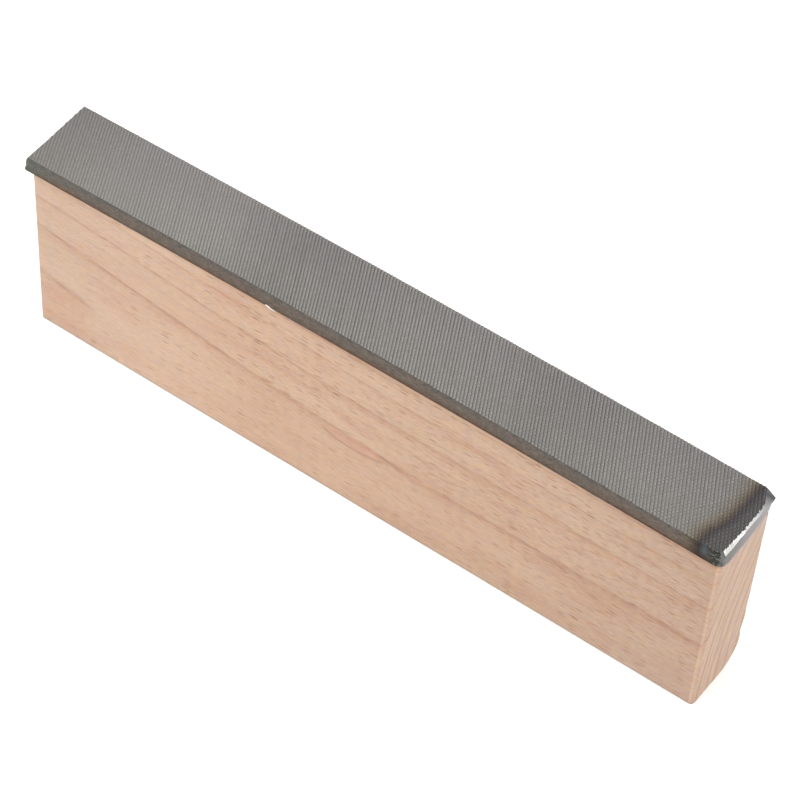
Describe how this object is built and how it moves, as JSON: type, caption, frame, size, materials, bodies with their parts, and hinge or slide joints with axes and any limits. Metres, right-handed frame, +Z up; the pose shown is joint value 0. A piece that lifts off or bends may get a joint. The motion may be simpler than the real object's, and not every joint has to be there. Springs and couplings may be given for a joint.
{
  "type": "block-mounted flat file",
  "caption": "Double-cut steel file blade bonded teeth-up to the narrow edge of a tall beech block, for levelling and truing edges.",
  "frame": {"origin": "bottom centre of the tool: middle of its length and width, on the plane the block stands on", "axes": "+X along the tool towards the ground end of the blade, +Y across it, +Z up out of the toothed face"},
  "size_m": [0.2113, 0.0243, 0.0606],
  "materials": {
    "file_steel": "bare hardened steel, double-cut teeth, one end ground bright with heat colours beside it",
    "adhesive": "thin cured film, amber brown",
    "dried_glue": "cream, dried",
    "beech": "sanded, unvarnished"
  },
  "bodies": {
    "root": {"file_blade": "file_steel", "adhesive_film": "adhesive", "glue_squeeze_out": "dried_glue", "beech_block": "beech"}
  },
  "joints": []
}
